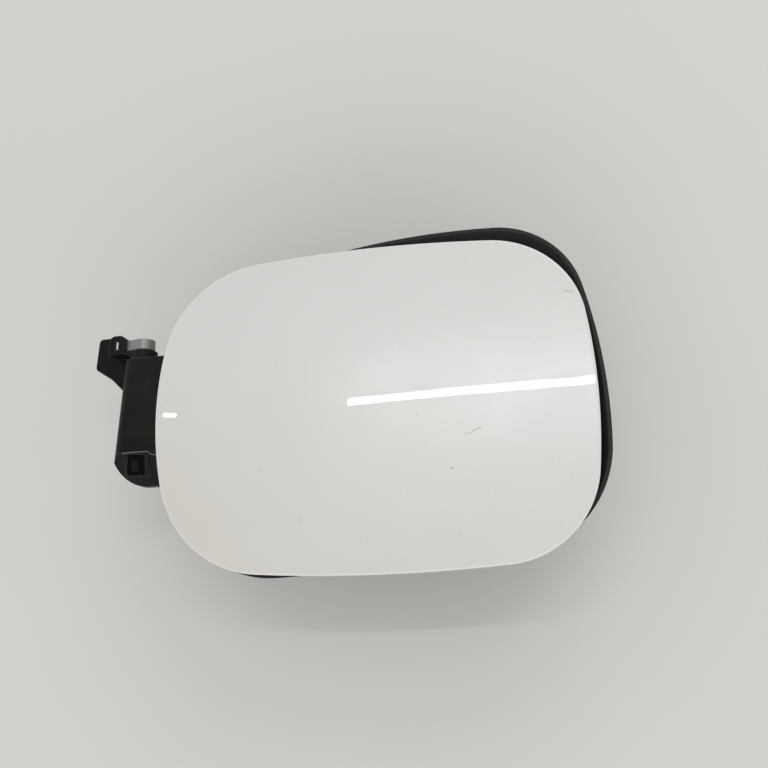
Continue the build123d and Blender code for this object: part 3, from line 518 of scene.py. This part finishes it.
# painted highlight: the spring's own steel, made far paler than SPRING_STEEL
STRIP_END_HIGHLIGHT = SteelFinish(
    "spring_strip_end_highlight", (0.80, 0.80, 0.79), (0.36, 0.48), Brush.Y, stain_share=0.1
)
ZINC_STEEL = SteelFinish("zinc_plate", (0.56, 0.57, 0.585), (0.26, 0.42))
PIN_STEEL = SteelFinish("ground_pin", (0.50, 0.50, 0.50), (0.2, 0.34), Brush.Y)
BOLT_STEEL = SteelFinish("turned_bolt", (0.52, 0.52, 0.51), (0.2, 0.32), Brush.X)
CLIP_STEEL = SteelFinish("phosphate_clip", (0.10, 0.10, 0.105), (0.45, 0.6))
CONTACT_BRASS = SteelFinish("tinned_contact", (0.62, 0.55, 0.36), (0.24, 0.36), Brush.Z)


def dress(frame: dict[str, Any], finish: Finish, nodes: Iterable[str]) -> None:
    """Gives nodes of the frame one finish.

    Args:
        frame: the loaded frame.
        finish: their finish.
        nodes: names of the nodes.
    """
    material = finish.build()
    for name in nodes:
        shown = frame["nodes"][name]
        for holder in shown.material_slots:
            holder.material = material
        LOG.info("%s wears %s", name, finish.name)


def piece(
    name: str, mesh: bmesh.types.BMesh, finish: Finish, body: str
) -> bpy.types.Object:
    """Makes a fitting from a bmesh and hangs it on a body.

    Args:
        name: the piece's name.
        mesh: its shape, in the frame's coordinates.
        finish: its finish.
        body: the body that it moves with.

    Returns:
        The new object.
    """
    bmesh.ops.recalc_face_normals(mesh, faces=mesh.faces[:])
    data = bpy.data.meshes.new(name)
    mesh.to_mesh(data)
    mesh.free()
    shown = bpy.data.objects.new(name, data)
    bpy.context.scene.collection.objects.link(shown)
    data.materials.append(finish.build())
    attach(shown, body)
    LOG.info("%s rides on %s", name, body)
    return shown


def block(mesh: bmesh.types.BMesh, middle: Vector, size: Size) -> None:
    """Adds a block with its middle at a point."""
    place = Matrix.Translation(middle) @ Matrix.Diagonal((*size, 1.0))
    bmesh.ops.create_cube(mesh, size=1.0, matrix=place)


def draw_out(mesh: bmesh.types.BMesh, edges: Iterable[bmesh.types.BMEdge], way: Vector) -> None:
    """Draws a wall from edges.

    Args:
        mesh: the fitting's mesh.
        edges: the wall's first edges.
        way: from the first edges to the last ones.
    """
    made = bmesh.ops.extrude_edge_only(mesh, edges=list(edges))
    moved = [item for item in made["geom"] if isinstance(item, bmesh.types.BMVert)]
    bmesh.ops.translate(mesh, verts=moved, vec=way)


def round_off(mesh: bmesh.types.BMesh, edges: Iterable[bmesh.types.BMEdge], radius: float) -> None:
    """Rounds edges of a fitting.

    Args:
        mesh: the fitting's mesh.
        edges: the sharp edges.
        radius: size of the rounding.
    """
    bmesh.ops.bevel(
        mesh,
        geom=list(edges),
        offset=radius,
        affect="EDGES",
        segments=EDGE_SEGMENTS,
        profile=0.5,
        material=-1,
    )


def rounded_loop(
    mesh: bmesh.types.BMesh, corners: Iterable[Vector], radius: float
) -> bmesh.types.BMFace:
    """Adds a flat face with rounded corners.

    Args:
        mesh: the mesh that takes the face.
        corners: its corners, in order.
        radius: size of the rounding.

    Returns:
        The face.
    """
    others = set(mesh.faces)
    start = mesh.faces.new([mesh.verts.new(corner) for corner in corners])
    bmesh.ops.bevel(
        mesh,
        geom=start.verts[:],
        offset=radius,
        affect="VERTICES",
        segments=CORNER_SEGMENTS,
        profile=0.5,
        material=-1,
    )
    return next(face for face in mesh.faces if face not in others)


@dataclass(frozen=True)
class Slope:
    """Sloping lower end of the hinge pod, with its own flat coordinates.

    Attributes:
        origin: middle of the plug's window.
        angle: the slope, in degrees.
    """

    origin: Vector
    angle: float

    def at(self, across: float, up: float, out: float) -> Vector:
        """A point on or above the slope.

        Args:
            across: way along the car, in metres.
            up: way up the slope.
            out: height above it.

        Returns:
            The point in the frame.
        """
        lean = math.radians(self.angle)
        way_up = Vector((0.0, math.cos(lean), math.sin(lean)))
        way_out = Vector((0.0, -math.sin(lean), math.cos(lean)))
        return self.origin + Vector((across, 0.0, 0.0)) + up * way_up + out * way_out


@dataclass
class PinEndPlug:
    """Snap plug that closes the pod's lower end: a thin face with a well, whose near-black floor is
    painted shade, and a hook bar.

    Attributes:
        face: corners of the face on the slope, in millimetres.
        well: corners of the well.
        bar: corners of the hook bar.
        stem: half width and half length of the part in the window, in metres.
    """

    slope: Slope = field(default_factory=lambda: Slope(Vector((-106.6, -17.6, 63.281)) * MM, 38.0))
    body: str = "housing"
    node: str = "pin_end_plug"
    face: Outline = ((-5.3, 6.3), (6.1, 6.3), (5.8, -6.0), (-6.8, -5.7))
    well: Outline = ((-2.9, 5.9), (5.2, 5.5), (2.7, -4.8), (-5.9, -4.3))
    bar: Outline = ((-1.5, 3.3), (1.7, 3.0), (0.2, -2.8), (-3.1, -2.6))
    stem: Span = (4.0 * MM, 4.6 * MM)
    stem_depth: float = 2.2 * MM
    face_round: float = 1.5 * MM
    well_round: float = 0.8 * MM
    bar_round: float = 0.4 * MM
    height: float = 0.40 * MM
    floor: float = 0.05 * MM
    bar_height: float = 0.30 * MM
    edge: float = 0.12 * MM

    def corners(self, outline: Outline, out: float) -> list[Vector]:
        """An outline's corners in the frame, at a height above the slope."""
        return [self.slope.at(across * MM, up * MM, out) for across, up in outline]

    def down(self, depth: float) -> Vector:
        """The way into the slope, square to it."""
        return self.slope.at(0.0, 0.0, -depth) - self.slope.origin

    def build_face(self) -> bpy.types.Object:
        """The plug's face and its stem.

        Returns:
            The piece that stands for the plug.
        """
        mesh = bmesh.new()
        outer = rounded_loop(mesh, self.corners(self.face, self.height), self.face_round)
        inner = rounded_loop(mesh, self.corners(self.well, self.height), self.well_round)
        rims = [list(outer.edges), list(inner.edges)]
        bmesh.ops.delete(mesh, geom=[outer, inner], context="FACES_ONLY")
        bmesh.ops.bridge_loops(mesh, edges=rims[0] + rims[1])
        for rim in rims:
            draw_out(mesh, rim, self.down(self.height))
        round_off(mesh, rims[0] + rims[1], self.edge)
        wide, tall = self.stem
        sides = ((-wide, tall), (wide, tall), (wide, -tall), (-wide, -tall))
        points = [mesh.verts.new(self.slope.at(across, up, 0.0)) for across, up in sides]
        stem = mesh.faces.new(points)
        draw_out(mesh, stem.edges, self.down(self.stem_depth))
        shown = piece("pin_end_plug_face", mesh, PLUG_PLASTIC, self.body)
        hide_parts(self.node)
        return shown

    def build_well_shade(self) -> bpy.types.Object:
        """The bottom of the plug's well, near-black as painted shade of a deep hole.

        Returns:
            The piece.
        """
        mesh = bmesh.new()
        base = rounded_loop(mesh, self.corners(self.well, self.floor), self.well_round)
        draw_out(mesh, base.edges, self.down(self.floor))
        return piece("pin_end_plug_well_shade", mesh, WELL_SHADE, self.body)

    def build_bar(self) -> bpy.types.Object:
        """The hook bar across the well.

        Returns:
            The piece.
        """
        mesh = bmesh.new()
        bar = rounded_loop(mesh, self.corners(self.bar, self.bar_height), self.bar_round)
        rim = list(bar.edges)
        draw_out(mesh, rim, self.down(self.bar_height))
        round_off(mesh, rim, self.edge)
        return piece("pin_end_plug_bar", mesh, BAR_PLASTIC, self.body)


@dataclass
class Housing:
    """Filler bowl with its seal, collar, spring, clips and lock case.

    Attributes:
        tip_middle: middle of the spring's bent end.
        ridge_line_points: upper line of a pale strip on the ridge, a painted highlight, in
            millimetres.
        ridge_line_width: from the strip's upper line to its lower one.
        blade_spread: way from one contact blade to the other.
        blade_top: middle between the blades' upper ends.
    """

    body: str = "housing"
    body_clips: int = 4
    tip_middle: Vector = field(default_factory=lambda: Vector((-118.15, 38.25, 63.65)) * MM)
    tip_size: Size = (0.9 * MM, 3.7 * MM, 2.5 * MM)
    tip_edge: float = 0.15 * MM
    ridge_line_points: tuple[Size, ...] = (
        (-112.0, -12.35, 67.44),
        (-109.0, -12.10, 67.57),
        (-104.0, -12.05, 67.58),
        (-100.4, -12.10, 67.57),
        (-98.0, -13.45, 66.64),
        (-95.6, -13.70, 66.45),
    )
    ridge_line_width: Vector = field(default_factory=lambda: Vector((0.0, -0.42, -0.14)) * MM)
    ridge_line_height: float = 0.10 * MM
    blade_spread: float = 3.0 * MM
    blade_size: Size = (0.8 * MM, 1.8 * MM, 5.0 * MM)
    blade_top: Vector = field(default_factory=lambda: Vector((0.0867, 0.0, 0.0366)))
    blade_edge: float = 0.25 * MM

    def dress(self, frame: dict[str, Any]) -> None:
        """Gives the housing's nodes their finishes.

        Args:
            frame: the loaded frame.
        """
        dress(frame, BOWL_PLASTIC, ["filler_bowl"])
        dress(frame, SEAL_RUBBER, ["rim_seal"])
        dress(frame, COLLAR_RUBBER, ["neck_collar"])
        dress(frame, PLUG_PLASTIC, ["pin_end_plug"])  # under the plug's face
        dress(frame, SPRING_STEEL, ["return_spring"])
        dress(frame, BUFFER_RUBBER, ["open_stop"])
        dress(frame, LOCK_PLASTIC, ["lock_case", "lock_cover"])
        dress(frame, GASKET_FOAM, ["lock_gasket"])
        small_steel = ["lock_screw_1", "lock_screw_2", "stud_sleeve_1", "stud_sleeve_2"]
        dress(frame, ZINC_STEEL, ["collar_clamp", *small_steel])
        dress(frame, CLIP_STEEL, [f"body_clip_{1 + number}" for number in range(self.body_clips)])

    def ridge_highlight(self) -> bpy.types.Object:
        """A pale strip along the ridge above the pod's lower end: a painted highlight of the ridge
        catching light.

        Returns:
            The piece.
        """
        mesh = bmesh.new()
        points = [mesh.verts.new(Vector(point) * MM) for point in self.ridge_line_points]
        line = [mesh.edges.new(pair) for pair in zip(points, points[1:])]
        draw_out(mesh, line, self.ridge_line_width)
        bmesh.ops.recalc_face_normals(mesh, faces=mesh.faces[:])
        bmesh.ops.solidify(mesh, geom=mesh.faces[:], thickness=self.ridge_line_height)
        return piece("pod_ridge_highlight", mesh, RIDGE_HIGHLIGHT_PLASTIC, self.body)

    def strip_end(self) -> bpy.types.Object:
        """The return spring's bent end, which shows in the lug's slit; its steel is much paler than
        the rest of the spring, a painted highlight.

        Returns:
            The piece.
        """
        mesh = bmesh.new()
        block(mesh, self.tip_middle, self.tip_size)
        round_off(mesh, mesh.edges, self.tip_edge)
        return piece("return_spring_end", mesh, STRIP_END_HIGHLIGHT, self.body)

    def contact_blades(self) -> bpy.types.Object:
        """Two tinned contact blades in the lock's cable socket.

        Returns:
            The blades, as one piece.
        """
        mesh = bmesh.new()
        for side in (-0.5, 0.5):
            shift = Vector((0.0, side * self.blade_spread, -self.blade_size[2] / 2))
            block(mesh, self.blade_top + shift, self.blade_size)
        tip = min(vert.co.z for vert in mesh.verts) + SAME_HEIGHT
        round_off(
            mesh,
            [edge for edge in mesh.edges if all(vert.co.z < tip for vert in edge.verts)],
            self.blade_edge,
        )
        return piece("lock_contact_blades", mesh, CONTACT_BRASS, self.body)


@dataclass
class Flap:
    """Painted skin on its carrier, with the pin, the striker, the buffers and the clips."""

    skin_clips: int = 4

    def dress(self, frame: dict[str, Any]) -> None:
        """Gives the flap's nodes their finishes.

        Args:
            frame: the loaded frame.
        """
        dress(frame, PAINT, ["flap_skin"])
        dress(frame, CARRIER_PLASTIC, ["flap_carrier"])
        dress(frame, PIN_STEEL, ["hinge_pin", "pin_washer"])
        dress(frame, ZINC_STEEL, ["lock_striker", "striker_rivet_1", "striker_rivet_2"])
        dress(frame, BUFFER_RUBBER, ["flap_buffer_1", "flap_buffer_2"])
        dress(frame, CLIP_NYLON, [f"skin_clip_{1 + number}" for number in range(self.skin_clips)])


@dataclass
class Lock:
    """Sliding lock bolt."""

    node: str = "lock_pin"

    def dress(self, frame: dict[str, Any]) -> None:
        """Gives the bolt its finish."""
        dress(frame, BOLT_STEEL, [self.node])


@dataclass
class PhotoCamera:
    """Camera at the photograph's viewing angle.

    The fitted view maps a point, measured from the flap's edge plane with Y and Z turned over,
    to camera axes x right, y down and z forward.

    Attributes:
        focal: focal length, in the picture's pixels.
        picture: the picture's width, in pixels.
        sensor: the sensor's width, in millimetres.
        tilt: turn about X, in degrees, before yaw about Y and roll about Z.
        offset: the plane's origin seen from the camera.
        plane_height: height of the flap's edge plane above the bowl's rear plane.
        nearest: the nearest way at which the camera sees.
    """

    focal: float = 850.0
    picture: float = 768.0
    sensor: float = 36.0
    tilt: float = -15.0
    yaw: float = 10.0
    roll: float = -4.5
    offset: Vector = field(default_factory=lambda: Vector((-6.776, 8.379, 351.459)) * MM)
    plane_height: float = 73.4 * MM
    nearest: float = 10.0 * MM

    def build(self) -> bpy.types.Object:
        """Makes the camera and sets it as the scene's.

        Returns:
            The camera.
        """
        turn = Matrix.Rotation(math.radians(self.roll), 3, "Z")
        turn = turn @ Matrix.Rotation(math.radians(self.yaw), 3, "Y")
        turn = turn @ Matrix.Rotation(math.radians(self.tilt), 3, "X")
        seen = turn @ Matrix.Diagonal((1.0, -1.0, -1.0))
        centre = -(seen.transposed() @ self.offset) + Vector((0.0, 0.0, self.plane_height))
        pose = Matrix((seen[0], -seen[1], -seen[2])).transposed().to_4x4()
        data = bpy.data.cameras.new("photo_camera")
        data.sensor_width = self.sensor
        data.lens = self.focal / self.picture * self.sensor
        data.clip_start = self.nearest
        camera = bpy.data.objects.new("photo_camera", data)
        camera.matrix_world = Matrix.Translation(centre) @ pose
        bpy.context.scene.collection.objects.link(camera)
        bpy.context.scene.camera = camera
        LOG.info("camera at %s", [round(value, 4) for value in centre])
        return camera


@dataclass(frozen=True)
class Panel:
    """One soft light.

    Attributes:
        name: the light's name.
        place: its middle, in metres.
        aim: the point that it faces.
        size: its length and width, in metres.
        radiance: brightness of its face.
        colour: its tint.
        turn: angle of its length about its own axis, in degrees.
        mirrored: whether glossy surfaces show it.
    """

    name: str
    place: Size
    aim: Size
    size: Span
    radiance: float
    colour: Colour = (1.0, 1.0, 1.0)
    turn: float = 0.0
    mirrored: bool = True


@dataclass
class Studio:
    """Pale floor and soft light.

    Attributes:
        floor_drop: gap under the part, which keeps the two surfaces apart.
        floor_shade: brightness of the floor's darker clouds.
        floor_share: share of the darker clouds.
        sky_heights: height of the view's way at which the side light ends and the top light starts.
    """

    floor_size: float = 40.0
    floor_drop: float = 0.1 * MM
    floor_colour: Colour = (0.745, 0.742, 0.724)
    floor_cloud: Cloud = Cloud(3.0, 4.0)
    floor_shade: float = 0.96
    floor_share: float = 0.5
    floor_rough: float = 0.62
    floor_specular: float = 0.25
    sky_colour: Colour = (1.0, 0.995, 0.98)
    sky_top: float = 0.50
    sky_side: float = 1.03
    sky_heights: Span = (0.12, 0.80)
    panels: tuple[Panel, ...] = (
        Panel(
            name="tube_right",
            place=(0.161, 0.3475, 1.4),
            aim=(0.161, 0.3475, 0.0),
            size=(0.958, 0.024),
            radiance=30.0,
            turn=1.6,
        ),
        Panel(
            name="tube_left",
            place=(-0.844, 0.3515, 1.4),
            aim=(-0.844, 0.3515, 0.0),
            size=(0.040, 0.015),
            radiance=26.0,
            turn=-8.0,
        ),
        Panel(
            name="key_soft",
            place=(0.55, 1.45, 1.30),
            aim=(0.0, 0.0, 0.05),
            size=(1.1, 0.8),
            radiance=1.35,
            colour=(1.0, 0.985, 0.96),
        ),
        Panel(
            name="front_soft",
            place=(0.10, -1.35, 0.80),
            aim=(0.0, 0.0, 0.05),
            size=(2.4, 1.0),
            radiance=1.0,
            colour=(0.98, 0.99, 1.0),
            mirrored=False,
        ),
    )

    def floor(self) -> None:
        """Makes the floor."""
        mesh = bmesh.new()
        place = Matrix.Translation((0.0, 0.0, -self.floor_drop))
        half = self.floor_size / 2
        bmesh.ops.create_grid(mesh, x_segments=1, y_segments=1, size=half, matrix=place)
        data = bpy.data.meshes.new("floor")
        mesh.to_mesh(data)
        mesh.free()
        ground = bpy.data.objects.new("floor", data)
        bpy.context.scene.collection.objects.link(ground)
        shader = Shader("floor_board")
        tone = shader.cloud(self.floor_cloud, (0.0, self.floor_share))
        darker = tuple(self.floor_shade * value for value in self.floor_colour)
        shader.set(Base_Color=shader.mix(tone, self.floor_colour, darker))
        shader.set(Roughness=self.floor_rough, Specular_IOR_Level=self.floor_specular)
        data.materials.append(shader.material)

    def light(self, panel: Panel) -> None:
        """Makes one light.

        Args:
            panel: the light's facts.
        """
        data = bpy.data.lights.new(panel.name, "AREA")
        data.shape = "RECTANGLE"
        data.size, data.size_y = panel.size
        data.energy = panel.radiance * math.pi * panel.size[0] * panel.size[1]
        data.color = panel.colour
        lamp = bpy.data.objects.new(panel.name, data)
        lamp.visible_glossy = panel.mirrored
        way = Vector(panel.aim) - Vector(panel.place)
        turn = Matrix.Rotation(math.radians(panel.turn), 4, "Z")
        aimed = way.to_track_quat("-Z", "Y").to_matrix().to_4x4()
        lamp.matrix_world = Matrix.Translation(panel.place) @ aimed @ turn
        bpy.context.scene.collection.objects.link(lamp)

    def build(self) -> None:
        """Makes the floor, the lights and the even light of the room."""
        self.floor()
        for panel in self.panels:
            self.light(panel)
        world = bpy.data.worlds.new("room")
        world.use_nodes = True
        back = world.node_tree.nodes["Background"]
        back.inputs["Color"].default_value = (*self.sky_colour, 1.0)
        nodes, links = world.node_tree.nodes, world.node_tree.links
        way = nodes.new("ShaderNodeSeparateXYZ")
        links.new(nodes.new("ShaderNodeTexCoord").outputs["Generated"], way.inputs["Vector"])
        fade = nodes.new("ShaderNodeMapRange")
        for name, number in zip(RAMP_INPUTS, (*self.sky_heights, self.sky_side, self.sky_top)):
            fade.inputs[name].default_value = number
        links.new(way.outputs["Z"], fade.inputs["Value"])
        links.new(fade.outputs["Result"], back.inputs["Strength"])
        bpy.context.scene.world = world
        bpy.context.scene.view_settings.view_transform = "Standard"


def main() -> None:
    """Loads the frame and builds everything around it, in order."""
    logging.basicConfig(level=logging.INFO, format="%(name)s: %(message)s")
    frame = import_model()
    PhotoCamera().build()
    Studio().build()
    housing = Housing()
    housing.dress(frame)
    housing.contact_blades()
    housing.strip_end()
    housing.ridge_highlight()
    plug = PinEndPlug()
    plug.build_face()
    plug.build_well_shade()
    plug.build_bar()
    Flap().dress(frame)
    Lock().dress(frame)


if __name__ == "__main__":
    main()
